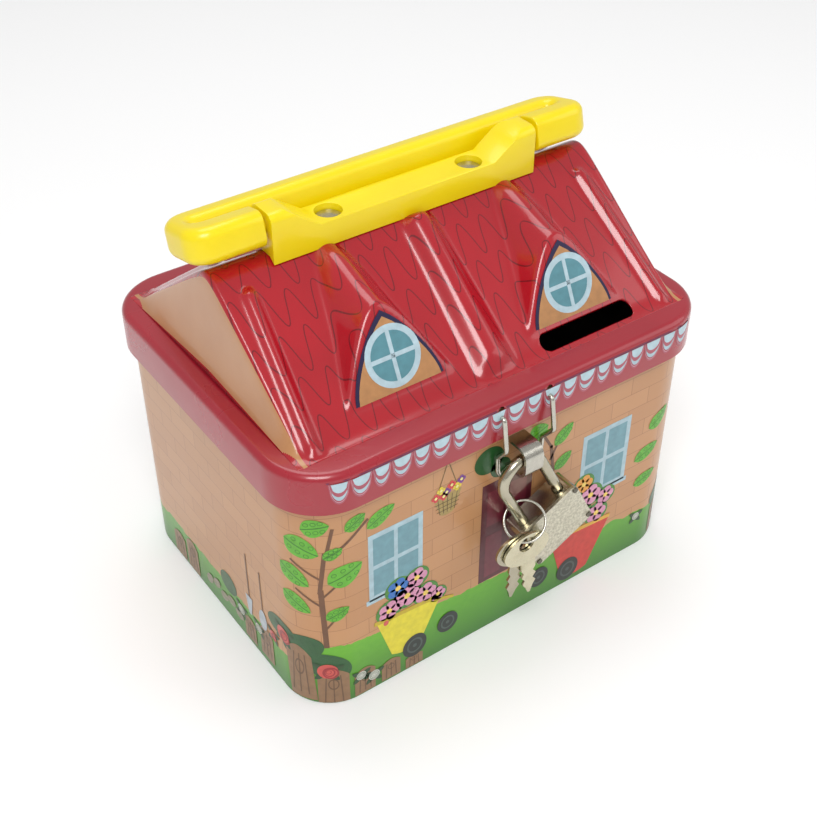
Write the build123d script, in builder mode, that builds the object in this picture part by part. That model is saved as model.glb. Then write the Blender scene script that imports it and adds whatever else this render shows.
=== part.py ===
from build123d import *
import math
import os

# Tin money box shaped like a small house, millimetres.
# Origin on the floor under the middle of the box, +X along the ridge, -Y towards the lock, +Z up.

# ---- driving dimensions -------------------------------------------------------------------------
SHEET = 0.5                 # tinplate, drawn a little heavier than the real 0.3
LID_LENGTH = 130.0          # over the lid skirt, along the ridge
LID_DEPTH = 99.6            # over the lid skirt, front to back
LID_CORNER = 16.0
SKIRT_FOOT_Z = 69.0
EAVES_Z = 80.5              # the flat shelf on which the roof stands
EAVES_ROUND = 2.5
BODY_GAP = 2.1              # from the skirt's outside to the body's outside
BODY_TOP_Z = 77.0
TRAY_RIM = 3.0              # height of the bottom plate's upturned rim
TRAY_PLAY = 0.02

ROOF_FOOT_X = 59.6          # half length of the roof at its foot
ROOF_FOOT_Y = 40.2
RIDGE_X = 57.2              # half length of the ridge
RIDGE_Y = 2.6               # half width of its flat crown
RIDGE_Z = 109.5

DORMER_X = 27.0             # distance of each attic window from the middle
DORMER_Y = 35.3             # front of its foot
DORMER_HALF = 13.5
DORMER_RISE = 17.5
DORMER_LEAN = 8.8           # the face leans back this far over its height
DORMER_END_Y = 7.0
RIB_HALF = 6.4
RIB_START = 7.0             # from the ridge down the slope, clear of the folded handle
RIB_RISE = 3.4
SIDE_RIB_X = 51.5
SIDE_RIB_HALF = 2.6
SIDE_RIB_RISE = 1.6
SLOT_X = 29.0
SLOT_Y = -38.0
SLOT_LENGTH = 30.5
SLOT_WIDTH = 4.24

HANDLE_X = -2.0             # the handle is riveted a little off the middle
BRACKET_HALF = 39.4
BRACKET_Y = 4.6
BRACKET_TOP_Z = 114.7
EAR_TOP_Z = 121.0
EAR_FLAT = 4.2              # full-height length of each ear
EAR_SLOPE = 9.0             # length of the gusset down to the bar
PIVOT_Z = 116.9
TRUNNION_R = 2.0
TRUNNION_PLAY = 0.06
TRUNNION_DEPTH = 4.0
BAIL_HALF = 59.5
BAIL_GAP = 1.2              # between each ear and the bail's end
BAIL_DROP = 14.0            # degrees below level when folded to the back
BAIL_BAR_W = 11.2           # from the pivot to the middle of the grip
BAIL_BAR_HALF = 3.8
BAIL_THICK = 9.0
RIVET_X = 21.2
RIVET_HEAD_R = 3.1
RIVET_SHANK_R = 1.6
RIVET_WELL_R = 3.5
RIVET_WELL_DEPTH = 2.6
RIVET_TAIL_R = 2.4

HINGE_PIN_R = 0.75
HINGE_PLAY = 0.06
KNUCKLE_R = 1.45
HINGE_Z = 67.0
KNUCKLE = 12.0              # length of one knuckle
KNUCKLE_GAP = 0.3
KNUCKLES = 5
LEAF_DROP = 11.0

HASP_R = 0.65
HASP_HALF = 7.5
HASP_Z = 76.0
HASP_END_Z = 55.4
STAPLE_X = -0.8
STAPLE_HALF = 2.85
STAPLE_STRIP = 0.8
STAPLE_OUT = 8.0
STAPLE_LOW_Z = 57.3
STAPLE_HIGH_Z = 66.5

LOCK_TILT = 27.0            # degrees the hanging lock leans, seen from the front
LOCK_OUT = 5.3              # from the wall to the lock's middle plane
ROD_R = 1.5
LEG_SPACING = 12.5
CROWN_X = -2.0
CROWN_Z = 56.3
LEG_OPEN = 14.0             # crown centre to the case top with the shackle sprung open
TOE_GAP = 0.7               # toe tip above the case top
CASE_W = 20.0
CASE_H = 16.0
CASE_T = 7.0
CASE_ROUND = 1.5
PLATE_T = 0.8
ROD_PLAY = 0.08
HEEL_DEPTH = 8.6            # heel leg inside the case
LOCK_RIVET_R = 0.5
PLUG_R = 2.6
KEYWAY = 1.0

RING_R = 5.4
RING_WIRE_R = 0.35
RING_TILT = 40.0
RING_UP = 2.3
RING_ROUND = 126.0          # where round the ring its lowest point is
KEY_T = 0.7
KEY_BOW_W = 14.0
KEY_BOW_H = 10.0
KEY_HOLE_R = 2.4
KEY_HANG = 0.5              # from the wire to the middle of the hole
KEY_LENGTH = 22.0
KEY_BLADE_W = 5.0

# ---- derived places -----------------------------------------------------------------------------
BODY_LENGTH = LID_LENGTH - 2 * BODY_GAP
BODY_DEPTH = LID_DEPTH - 2 * BODY_GAP
BODY_CORNER = LID_CORNER - BODY_GAP
WALL_Y = -BODY_DEPTH / 2                      # outer face of the front wall
SKIRT_Y = -LID_DEPTH / 2                      # outer face of the front skirt
REAR_Y = LID_DEPTH / 2
ROOF_SLOPE = math.atan2(RIDGE_Z - EAVES_Z, ROOF_FOOT_Y - RIDGE_Y)
LOCK_Y = WALL_Y - LOCK_OUT
HINGE_Y = -WALL_Y + KNUCKLE_R + 0.03

os.makedirs("parts", exist_ok=True)


def save(part, name):
    part.label = name
    export_step(part, f"parts/{name}.step")


def roof_z(y):
    """Height of the roof slope at a distance y from the ridge line."""
    return EAVES_Z + (ROOF_FOOT_Y - abs(y)) * math.tan(ROOF_SLOPE)


def lid_form(inset):
    """The pressed lid as one full block, every surface set in by the given amount."""
    side = inset * 1.3
    with BuildPart() as form:
        with BuildSketch(Plane.XY.offset(SKIRT_FOOT_Z - inset)):
            RectangleRounded(LID_LENGTH - 2 * inset, LID_DEPTH - 2 * inset, LID_CORNER - inset)
        extrude(amount=EAVES_Z - SKIRT_FOOT_Z)
        fillet(form.edges().group_by(Axis.Z)[-1], EAVES_ROUND - inset)
        # the roof block, its four sides planed to the ridge
        with BuildSketch(Plane.XY.offset(EAVES_Z - inset - 1)):
            Rectangle(2 * (ROOF_FOOT_X - side), 2 * (ROOF_FOOT_Y - side) + 2 / math.tan(ROOF_SLOPE))
        with BuildSketch(Plane.XY.offset(RIDGE_Z - inset)):
            Rectangle(2 * (RIDGE_X - side), 2 * RIDGE_Y - inset)
        loft(ruled=True)
        for face in (-1, 1):
            # ribs down the slope
            down = (0, face * math.cos(ROOF_SLOPE), -math.sin(ROOF_SLOPE))
            top = Plane(origin=(0, face * RIDGE_Y, RIDGE_Z), x_dir=(1, 0, 0), z_dir=down)
            length = (ROOF_FOOT_Y - RIDGE_Y) / math.cos(ROOF_SLOPE)
            up = -1 if top.y_dir.Z < 0 else 1
            ribs = ((0, RIB_HALF, RIB_RISE), (-SIDE_RIB_X, SIDE_RIB_HALF, SIDE_RIB_RISE),
                    (SIDE_RIB_X, SIDE_RIB_HALF, SIDE_RIB_RISE))
            for x, half, rise in ribs:
                with BuildSketch(top.offset(RIB_START)):
                    with BuildLine():
                        Polyline((x - half + inset, -up * 1.5), (x + half - inset, -up * 1.5),
                                 (x + half * 0.2, up * (rise - inset)), (x - half * 0.2, up * (rise - inset)),
                                 close=True)
                    make_face()
                extrude(amount=length - RIB_START)
            # attic windows, a leaning face that tapers back into the ridge
            front_z = roof_z(DORMER_Y)
            back_z = roof_z(DORMER_END_Y)
            lean = math.atan2(DORMER_LEAN, DORMER_RISE)
            tall = DORMER_RISE / math.cos(lean)
            for x in (-DORMER_X, DORMER_X):
                flat = Plane(origin=(x, face * (DORMER_Y - side), front_z), x_dir=(1, 0, 0),
                             z_dir=(0, face * math.cos(lean), math.sin(lean)))
                rear = Plane(origin=(x, face * DORMER_END_Y, back_z), x_dir=(1, 0, 0), z_dir=(0, face, 0))
                for plane, foot, crown, rise in ((flat, DORMER_HALF, 3.5, tall), (rear, 5.0, 2.0, 2.4)):
                    flip = -1 if plane.y_dir.Z < 0 else 1
                    with BuildSketch(plane):
                        with BuildLine():
                            Polyline((-foot + side, -flip * 3), (foot - side, -flip * 3),
                                     (crown, flip * (rise - inset)), (-crown, flip * (rise - inset)), close=True)
                        make_face()
                loft(ruled=True)
    return form.part


# ---- box body -----------------------------------------------------------------------------------
# One strip of printed tinplate bent round and lock-seamed at the back.
with BuildPart() as body_wall:
    with BuildSketch():
        RectangleRounded(BODY_LENGTH, BODY_DEPTH, BODY_CORNER)
        RectangleRounded(BODY_LENGTH - 2 * SHEET, BODY_DEPTH - 2 * SHEET, BODY_CORNER - SHEET,
                         mode=Mode.SUBTRACT)
    extrude(amount=BODY_TOP_Z)
    # two slits for the staple's legs
    for z in (STAPLE_LOW_Z, STAPLE_HIGH_Z - STAPLE_STRIP):
        with BuildSketch(Plane.XZ.offset(-WALL_Y - 1)):
            with Locations((STAPLE_X, z + STAPLE_STRIP / 2)):
                Rectangle(2 * STAPLE_HALF, STAPLE_STRIP)
        extrude(amount=2, mode=Mode.SUBTRACT)
save(body_wall.part, "body_wall")

# Pressed bottom, a shallow tray pushed up inside the wall, on which the box stands.
with BuildPart() as bottom_plate:
    with BuildSketch():
        RectangleRounded(BODY_LENGTH - 2 * (SHEET + TRAY_PLAY), BODY_DEPTH - 2 * (SHEET + TRAY_PLAY),
                         BODY_CORNER - SHEET - TRAY_PLAY)
    extrude(amount=TRAY_RIM)
    with BuildSketch(Plane.XY.offset(SHEET)):
        RectangleRounded(BODY_LENGTH - 4 * SHEET, BODY_DEPTH - 4 * SHEET, BODY_CORNER - 2 * SHEET)
    extrude(amount=TRAY_RIM, mode=Mode.SUBTRACT)
save(bottom_plate.part, "bottom_plate")

# ---- rear hinge ---------------------------------------------------------------------------------
HINGE_LENGTH = KNUCKLES * KNUCKLE + (KNUCKLES - 1) * KNUCKLE_GAP


def knuckle_starts(first):
    """Left ends of every second knuckle, counted from the given one."""
    return [-HINGE_LENGTH / 2 + i * (KNUCKLE + KNUCKLE_GAP) for i in range(first, KNUCKLES, 2)]


def hinge_leaf(plate_y, low_z, high_z, first):
    """A flat leaf with its knuckles rolled round the pin."""
    with BuildPart() as leaf:
        with BuildSketch(Plane.XZ.offset(-plate_y)):
            with Locations((0, (low_z + high_z) / 2)):
                Rectangle(HINGE_LENGTH, high_z - low_z)
        extrude(amount=-SHEET)
        for x in knuckle_starts(first):
            with BuildSketch(Plane.YZ.offset(x)):
                with Locations((HINGE_Y, HINGE_Z)):
                    Circle(KNUCKLE_R)
            extrude(amount=KNUCKLE)
        # notches round the other leaf's knuckles
        for x in knuckle_starts(1 - first):
            with BuildSketch(Plane.YZ.offset(x - KNUCKLE_GAP)):
                with Locations((HINGE_Y, HINGE_Z)):
                    Circle(KNUCKLE_R + KNUCKLE_GAP)
            extrude(amount=KNUCKLE + 2 * KNUCKLE_GAP, mode=Mode.SUBTRACT)
        with BuildSketch(Plane.YZ.offset(-HINGE_LENGTH / 2)):
            with Locations((HINGE_Y, HINGE_Z)):
                Circle(HINGE_PIN_R + HINGE_PLAY)
        extrude(amount=HINGE_LENGTH, mode=Mode.SUBTRACT)
    return leaf.part


save(hinge_leaf(-WALL_Y, HINGE_Z - LEAF_DROP, HINGE_Z, 0), "hinge_leaf_body")
save(hinge_leaf(REAR_Y, HINGE_Z + 0.6, EAVES_Z - EAVES_ROUND - 0.3, 1), "hinge_leaf_lid")

# Plain wire pin with a small head at each end.
with BuildPart() as hinge_pin:
    with BuildSketch(Plane.YZ.offset(-HINGE_LENGTH / 2 - 0.6)):
        with Locations((HINGE_Y, HINGE_Z)):
            Circle(HINGE_PIN_R)
    extrude(amount=HINGE_LENGTH + 1.2)
    for x in (-HINGE_LENGTH / 2 - 0.9, HINGE_LENGTH / 2 + 0.2):
        with BuildSketch(Plane.YZ.offset(x)):
            with Locations((HINGE_Y, HINGE_Z)):
                Circle(HINGE_PIN_R + 0.35)
        extrude(amount=0.7)
save(hinge_pin.part, "hinge_pin")

# ---- staple -------------------------------------------------------------------------------------
# A bright steel strip bent to a D, its legs pushed through the wall and clenched flat behind it.
with BuildPart() as staple:
    inner = WALL_Y + SHEET
    mid_z = (STAPLE_LOW_Z + STAPLE_HIGH_Z) / 2
    half = (STAPLE_HIGH_Z - STAPLE_LOW_Z) / 2
    with BuildSketch(Plane.YZ.offset(STAPLE_X - STAPLE_HALF)):
        with Locations((WALL_Y - STAPLE_OUT / 2 + 2, mid_z)):
            RectangleRounded(STAPLE_OUT + 4, 2 * half, 3.4)
        with Locations((WALL_Y - STAPLE_OUT / 2 + 2, mid_z)):
            RectangleRounded(STAPLE_OUT + 4 - 2 * STAPLE_STRIP, 2 * half - 2 * STAPLE_STRIP,
                             3.4 - STAPLE_STRIP, mode=Mode.SUBTRACT)
        with Locations((inner + 5, mid_z)):
            Rectangle(10, 4 * half, mode=Mode.SUBTRACT)
        for side in (-1, 1):
            with Locations((inner + STAPLE_STRIP / 2, mid_z + side * (half + 1.2))):
                Rectangle(STAPLE_STRIP, 4.0)
    extrude(amount=2 * STAPLE_HALF)
save(staple.part, "staple")

# ---- lid ----------------------------------------------------------------------------------------
# One deep pressing: skirt, shelf, roof, four attic windows and six ribs, with the coin slot.
with BuildPart() as lid_shell:
    add(lid_form(0))
    add(lid_form(SHEET), mode=Mode.SUBTRACT)
    with BuildSketch(Plane.XY.offset(EAVES_Z - 5)):
        with Locations((SLOT_X, SLOT_Y)):
            SlotOverall(SLOT_LENGTH, SLOT_WIDTH)
    extrude(amount=20, mode=Mode.SUBTRACT)
    # upright slots in the skirt for the hasp wire
    for x in (-HASP_HALF, HASP_HALF):
        with BuildSketch(Plane.XZ.offset(-SKIRT_Y - 1)):
            with Locations((x, HASP_Z + 1.1)):
                SlotOverall(4.2, 1.9, rotation=90)
        extrude(amount=2, mode=Mode.SUBTRACT)
    # rivet holes in the ridge
    for x in (-RIVET_X, RIVET_X):
        with BuildSketch(Plane.XY.offset(RIDGE_Z - 2)):
            with Locations((HANDLE_X + x, 0)):
                Circle(RIVET_SHANK_R)
        extrude(amount=4, mode=Mode.SUBTRACT)
save(lid_shell.part, "lid_shell")

# ---- carrying handle ----------------------------------------------------------------------------
# Yellow moulded saddle on the ridge, with an ear at each end for the bail.
with BuildPart() as handle_bracket:
    with BuildSketch(Plane.XZ.offset(-BRACKET_Y)):
        with BuildLine():
            ends = [(BRACKET_HALF, RIDGE_Z - 4), (BRACKET_HALF, EAR_TOP_Z),
                    (BRACKET_HALF - EAR_FLAT, EAR_TOP_Z), (BRACKET_HALF - EAR_FLAT - EAR_SLOPE, BRACKET_TOP_Z)]
            right = [(HANDLE_X + x, z) for x, z in ends]
            left = [(HANDLE_X - x, z) for x, z in reversed(ends)]
            Polyline(*right, *left, close=True)
        make_face()
    extrude(amount=2 * BRACKET_Y)
    top_ends = handle_bracket.edges().filter_by(Axis.X).group_by(Axis.Z)[-1]
    fillet(top_ends, 2.2)
    add(lid_form(0), mode=Mode.SUBTRACT)
    for x in (-RIVET_X, RIVET_X):
        with BuildSketch(Plane.XY.offset(BRACKET_TOP_Z - RIVET_WELL_DEPTH)):
            with Locations((HANDLE_X + x, 0)):
                Circle(RIVET_WELL_R)
        extrude(amount=RIVET_WELL_DEPTH, mode=Mode.SUBTRACT)
        with BuildSketch(Plane.XY.offset(RIDGE_Z - 1)):
            with Locations((HANDLE_X + x, 0)):
                Circle(RIVET_SHANK_R)
        extrude(amount=BRACKET_TOP_Z - RIDGE_Z, mode=Mode.SUBTRACT)
    for side in (-1, 1):
        start = HANDLE_X + side * BRACKET_HALF
        with BuildSketch(Plane.YZ.offset(start)):
            with Locations((0, PIVOT_Z)):
                Circle(TRUNNION_R + TRUNNION_PLAY)
        extrude(amount=-side * TRUNNION_DEPTH, mode=Mode.SUBTRACT)
save(handle_bracket.part, "handle_bracket")

# Two steel rivets, set down in wells so that they don't scratch the hand.
with BuildPart() as handle_rivets:
    for x in (-RIVET_X, RIVET_X):
        levels = ((RIDGE_Z - SHEET - 0.9, 0.9, RIVET_TAIL_R),
                  (RIDGE_Z - SHEET, BRACKET_TOP_Z - RIVET_WELL_DEPTH - RIDGE_Z + SHEET, RIVET_SHANK_R),
                  (BRACKET_TOP_Z - RIVET_WELL_DEPTH, 1.1, RIVET_HEAD_R))
        for z, tall, radius in levels:
            with BuildSketch(Plane.XY.offset(z)):
                with Locations((HANDLE_X + x, 0)):
                    Circle(radius)
            extrude(amount=tall)
save(handle_rivets.part, "handle_rivets")

# Yellow moulded bail: a long grip whose ends turn back to the ears and carry the trunnions.
BAIL_PLANE = Plane(origin=(HANDLE_X, 0, PIVOT_Z), x_dir=(1, 0, 0),
                   z_dir=(0, math.sin(math.radians(BAIL_DROP)), math.cos(math.radians(BAIL_DROP))))
STUB_HALF = 4.3
with BuildPart() as handle_bail:
    outer = BAIL_BAR_W + BAIL_BAR_HALF
    inner = BAIL_BAR_W - BAIL_BAR_HALF
    with BuildSketch(BAIL_PLANE.offset(-BAIL_THICK / 2)):
        with Locations((0, (outer - STUB_HALF) / 2)):
            RectangleRounded(2 * BAIL_HALF, outer + STUB_HALF, 6.5)
        with Locations((0, (inner - STUB_HALF - 2) / 2)):
            Rectangle(2 * (BRACKET_HALF + BAIL_GAP), inner + STUB_HALF + 2, mode=Mode.SUBTRACT)
        with Locations((0, (inner + STUB_HALF) / 2)):
            SlotOverall(2 * (BAIL_HALF - 5.5), inner - STUB_HALF, mode=Mode.SUBTRACT)
    extrude(amount=BAIL_THICK)
    rims = handle_bail.edges().filter_by(GeomType.LINE).filter_by(Axis.X)
    fillet([e for e in rims if e.length > 60], 2.6)
    for side in (-1, 1):
        end = HANDLE_X + side * (BRACKET_HALF + BAIL_GAP)
        with BuildSketch(Plane.YZ.offset(end + side * 2)):
            with Locations((0, PIVOT_Z)):
                Circle(TRUNNION_R)
        extrude(amount=-side * (BAIL_GAP + TRUNNION_DEPTH + 1.7))
save(handle_bail.part, "handle_bail")

# ---- hasp ---------------------------------------------------------------------------------------
# A steel wire bow hooked into the skirt; its closed end drops over the staple.
HASP_PIN_Y = SKIRT_Y + SHEET + HASP_R + 0.05
with BuildPart() as hasp_wire:
    with BuildLine() as hasp_path:
        down = [(HASP_HALF + 3, HASP_PIN_Y, HASP_Z), (HASP_HALF, HASP_PIN_Y, HASP_Z),
                (HASP_HALF, SKIRT_Y - 1.2, HASP_Z), (HASP_HALF, SKIRT_Y - 2.7, 67.0),
                (HASP_HALF - 0.4, WALL_Y - 1.2, 62.6), (HASP_HALF - 0.7, WALL_Y - 1.2, HASP_END_Z)]
        back = [(-x, y, z) for x, y, z in reversed(down)]
        FilletPolyline(*down, *back, radius=(0.72, 0.9, 1.6, 1.6, 3.4, 3.4, 1.6, 1.6, 0.9, 0.72))
    with BuildSketch(Plane(origin=hasp_path.line @ 0, z_dir=hasp_path.line % 0)):
        Circle(HASP_R)
    sweep()
save(hasp_wire.part, "hasp_wire")

# ---- padlock ------------------------------------------------------------------------------------
TILT = math.radians(LOCK_TILT)
UP = Vector(-math.sin(TILT), 0, math.cos(TILT))
ACROSS = Vector(math.cos(TILT), 0, math.sin(TILT))
CROWN = Vector(CROWN_X, LOCK_Y, CROWN_Z)
CASE_TOP = CROWN - UP * LEG_OPEN
HEEL = CASE_TOP - ACROSS * (LEG_SPACING / 2)
TOE = CASE_TOP + ACROSS * (LEG_SPACING / 2)
LOCK_FACE = Plane(origin=CASE_TOP, x_dir=ACROSS, z_dir=(0, -1, 0))      # x across, y up, normal outwards
LOCK_TOP = Plane(origin=CASE_TOP, x_dir=ACROSS, z_dir=UP)

# Bent round rod: the long heel leg stays in the case, the short toe leg is notched for the latch.
with BuildPart() as shackle:
    with BuildLine() as bow:
        Polyline(tuple(HEEL - UP * HEEL_DEPTH), tuple(HEEL + UP * LEG_OPEN))
        ThreePointArc(tuple(HEEL + UP * LEG_OPEN), tuple(CROWN + UP * (LEG_SPACING / 2)),
                      tuple(TOE + UP * LEG_OPEN))
        Line(tuple(TOE + UP * LEG_OPEN), tuple(TOE + UP * TOE_GAP))
    with BuildSketch(Plane(origin=HEEL - UP * HEEL_DEPTH, z_dir=UP)):
        Circle(ROD_R)
    sweep()
    # groove near the heel's end for the retaining clip
    with BuildSketch(Plane(origin=HEEL - UP * (HEEL_DEPTH - 1.2), z_dir=UP)):
        Circle(ROD_R + 1)
        Circle(ROD_R - 0.5, mode=Mode.SUBTRACT)
    extrude(amount=0.9, mode=Mode.SUBTRACT)
    # latch notch on the toe, open towards the heel
    notch = Plane(origin=TOE + UP * (TOE_GAP + 1.2), x_dir=ACROSS, z_dir=UP)
    with BuildSketch(notch):
        with Locations((-ROD_R, 0)):
            Rectangle(1.5, 2 * ROD_R + 1)
    extrude(amount=1.7, mode=Mode.SUBTRACT)
save(shackle.part, "shackle")

CHAMBER_W = 5.4             # toe-side chamber for the latch
SPRING_BORE_R = 2.2
CORE_T = CASE_T - 2 * PLATE_T
CASE_MID = -CASE_H / 2
LATCH_DEPTH = 2.25           # middle of the latch below the case top with the shackle home
RIVET_PLACES = [(x, y) for x in (0.9 - CASE_W / 2, CASE_W / 2 - 0.9) for y in (-1.5, 1.5 - CASE_H)]
PLUG_Y = -CASE_H


def case_plate(offset, amount):
    """One of the two outer plates, with its rivet holes."""
    with BuildPart() as plate:
        with BuildSketch(LOCK_FACE.offset(offset)):
            with Locations((0, CASE_MID)):
                RectangleRounded(CASE_W, CASE_H, CASE_ROUND)
            with Locations(*RIVET_PLACES):
                Circle(LOCK_RIVET_R, mode=Mode.SUBTRACT)
        extrude(amount=amount)
    return plate.part


save(case_plate(CORE_T / 2, PLATE_T), "lock_front_plate")
save(case_plate(-CORE_T / 2, -PLATE_T), "lock_back_plate")

# Pressed middle of the case, with the two leg bores, the latch chamber and the plug's bore.
TOE_BORE_DEPTH = 5.4
WELL_TOP = HEEL_DEPTH - 2.05
with BuildPart() as lock_core:
    with BuildSketch(LOCK_FACE.offset(-CORE_T / 2)):
        with Locations((0, CASE_MID)):
            RectangleRounded(CASE_W, CASE_H, CASE_ROUND)
        with Locations(*RIVET_PLACES):
            Circle(LOCK_RIVET_R, mode=Mode.SUBTRACT)
    extrude(amount=CORE_T)
    with BuildSketch(LOCK_TOP):
        with Locations((-LEG_SPACING / 2, 0), (LEG_SPACING / 2, 0)):
            Circle(ROD_R + ROD_PLAY)
    extrude(amount=-TOE_BORE_DEPTH, mode=Mode.SUBTRACT)
    with BuildSketch(LOCK_TOP):
        with Locations((-LEG_SPACING / 2, 0)):
            Circle(ROD_R + ROD_PLAY)
    extrude(amount=-WELL_TOP, mode=Mode.SUBTRACT)
    # wider well below the heel bore, for the clip and the lifting spring
    with BuildSketch(LOCK_TOP.offset(-WELL_TOP)):
        with Locations((-LEG_SPACING / 2, 0)):
            Circle(SPRING_BORE_R)
    extrude(amount=-(CASE_H - WELL_TOP - 0.6), mode=Mode.SUBTRACT)
    # latch channel from the toe bore to the plug
    with BuildSketch(LOCK_TOP.offset(-LATCH_DEPTH + 0.75)):
        with Locations((LEG_SPACING / 2 - 4.0, 0)):
            Rectangle(8.0, 2.4)
    extrude(amount=-1.5, mode=Mode.SUBTRACT)
    with BuildSketch(LOCK_TOP.offset(-CASE_H)):
        with Locations((1.6, 0)):
            Circle(PLUG_R + ROD_PLAY)
    extrude(amount=10.4, mode=Mode.SUBTRACT)
save(lock_core.part, "lock_core")

# Four rivets that clamp the plates to the core, domed in front and filed flush behind.
with BuildPart() as lock_rivets:
    for level, amount, radius in ((-CASE_T / 2, CASE_T, LOCK_RIVET_R),
                                  (CASE_T / 2, 0.3, LOCK_RIVET_R + 0.3)):
        with BuildSketch(LOCK_FACE.offset(level)):
            with Locations(*RIVET_PLACES):
                Circle(radius)
        extrude(amount=amount)
save(lock_rivets.part, "lock_rivets")

# Spring-steel clip in the heel's groove; it keeps the leg in the case.
with BuildPart() as heel_clip:
    with BuildSketch(Plane(origin=HEEL - UP * (HEEL_DEPTH - 1.3), z_dir=UP)):
        Circle(SPRING_BORE_R - 0.12)
        Circle(ROD_R - 0.45, mode=Mode.SUBTRACT)
    extrude(amount=0.7)
save(heel_clip.part, "heel_clip")

# Coil spring that throws the shackle up, drawn at the length it has with the lock shut.
with BuildPart() as shackle_spring:
    with BuildLine() as coil:
        Helix(pitch=0.6, height=2.4, radius=1.85, center=tuple(HEEL - UP * (CASE_H - 0.85)), direction=tuple(UP))
    with BuildSketch(Plane(origin=coil.line @ 0, z_dir=coil.line % 0)):
        Circle(0.16)
    sweep(is_frenet=True)
save(shackle_spring.part, "shackle_spring")

# Round plug with the keyway, turned by the key from below.
with BuildPart() as lock_plug:
    with BuildSketch(LOCK_TOP.offset(-CASE_H)):
        with Locations((1.6, 0)):
            Circle(PLUG_R)
    extrude(amount=8.6)
    with BuildSketch(LOCK_TOP.offset(-CASE_H)):
        with Locations((1.6, 0)):
            Rectangle(3.4, KEYWAY)
    extrude(amount=7.0, mode=Mode.SUBTRACT)
save(lock_plug.part, "lock_plug")

# Sliding latch that enters the toe's notch, and the spring behind it.
with BuildPart() as latch_bolt:
    with BuildSketch(LOCK_TOP.offset(-LATCH_DEPTH + 0.65)):
        with Locations((LEG_SPACING / 2 - ROD_R - 1.9, 0)):
            Rectangle(3.4, 2.2)
    extrude(amount=-1.3)
save(latch_bolt.part, "latch_bolt")
with BuildPart() as latch_spring:
    with BuildSketch(LOCK_TOP.offset(-LATCH_DEPTH + 0.4)):
        with Locations((-0.55, 0)):
            Rectangle(1.6, 0.3)
    extrude(amount=-0.8)
save(latch_spring.part, "latch_spring")

# ---- keys ---------------------------------------------------------------------------------------
# A thin split ring round the heel leg, resting on the case's front edge, with two stamped keys.
OUT = Vector(0, -1, 0)
RING_DOWN = OUT * math.cos(math.radians(RING_TILT)) - UP * math.sin(math.radians(RING_TILT))
RING_BACK = RING_R * math.cos(math.radians(RING_TILT)) - ROD_R - RING_WIRE_R - 0.15
RING_CENTRE = HEEL + OUT * RING_BACK + UP * RING_UP
with BuildPart() as key_ring:
    with BuildLine() as loop:
        with BuildLine(Plane(origin=RING_CENTRE, x_dir=ACROSS, z_dir=ACROSS.cross(RING_DOWN))):
            CenterArc((0, 0), RING_R, 0, 360)
    with BuildSketch(Plane(origin=loop.line @ 0, z_dir=loop.line % 0)):
        Circle(RING_WIRE_R)
    sweep()
save(key_ring.part, "key_ring")


def key_blank(around, turn, lean):
    """A flat stamped key: oval bow with a hole, and a wavy blade, hung on the ring."""
    a = math.radians(around)
    hook = RING_CENTRE + ACROSS * (RING_R * math.cos(a)) + RING_DOWN * (RING_R * math.sin(a))
    facing = math.radians(turn)
    tip_over = math.radians(lean)
    level = Vector(-math.sin(facing), math.cos(facing), 0)
    plane = Plane(origin=hook, x_dir=level * math.cos(tip_over) + Vector(0, 0, 1) * math.sin(tip_over),
                  z_dir=(math.cos(facing), math.sin(facing), 0))
    drop = KEY_HANG
    bow_y = -drop - 1.9
    half = KEY_BLADE_W / 2
    tip = -KEY_LENGTH + 3
    with BuildPart() as key:
        with BuildSketch(plane.offset(-KEY_T / 2)):
            with Locations((0, bow_y)):
                Ellipse(KEY_BOW_W / 2, KEY_BOW_H / 2)
            with BuildLine():
                edge = [(half, bow_y - 3), (half, -10), (half - 0.9, -11.2), (half, -12.6), (half - 1.1, -14),
                        (half - 0.2, -15.4), (half - 1.2, -16.8), (0.4, tip)]
                Polyline(*edge, *[(-x * 0.8, y) for x, y in reversed(edge)], close=True)
            make_face()
            with Locations((0, -drop)):
                Circle(KEY_HOLE_R, mode=Mode.SUBTRACT)
        extrude(amount=KEY_T)
    return key.part


save(key_blank(RING_ROUND + 4, -92.0, 6.0), "key_1")
save(key_blank(RING_ROUND + 22, -92.0, -6.0), "key_2")
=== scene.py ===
import math

import bmesh
import bpy
from mathutils import Matrix, Vector


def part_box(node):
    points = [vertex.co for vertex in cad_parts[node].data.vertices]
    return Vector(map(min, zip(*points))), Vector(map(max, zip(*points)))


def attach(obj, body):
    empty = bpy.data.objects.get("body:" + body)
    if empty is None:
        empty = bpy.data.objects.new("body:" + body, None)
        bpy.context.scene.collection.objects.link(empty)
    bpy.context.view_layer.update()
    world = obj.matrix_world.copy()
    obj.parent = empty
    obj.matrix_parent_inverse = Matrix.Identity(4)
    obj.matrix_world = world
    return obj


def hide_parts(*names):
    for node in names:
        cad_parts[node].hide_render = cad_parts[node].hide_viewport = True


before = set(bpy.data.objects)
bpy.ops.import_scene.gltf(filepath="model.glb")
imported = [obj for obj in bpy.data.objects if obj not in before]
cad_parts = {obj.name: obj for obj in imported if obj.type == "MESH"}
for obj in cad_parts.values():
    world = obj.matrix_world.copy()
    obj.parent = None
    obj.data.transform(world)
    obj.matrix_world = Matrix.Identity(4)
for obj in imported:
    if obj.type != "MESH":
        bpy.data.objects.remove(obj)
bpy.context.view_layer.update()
MM = 0.001

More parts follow.
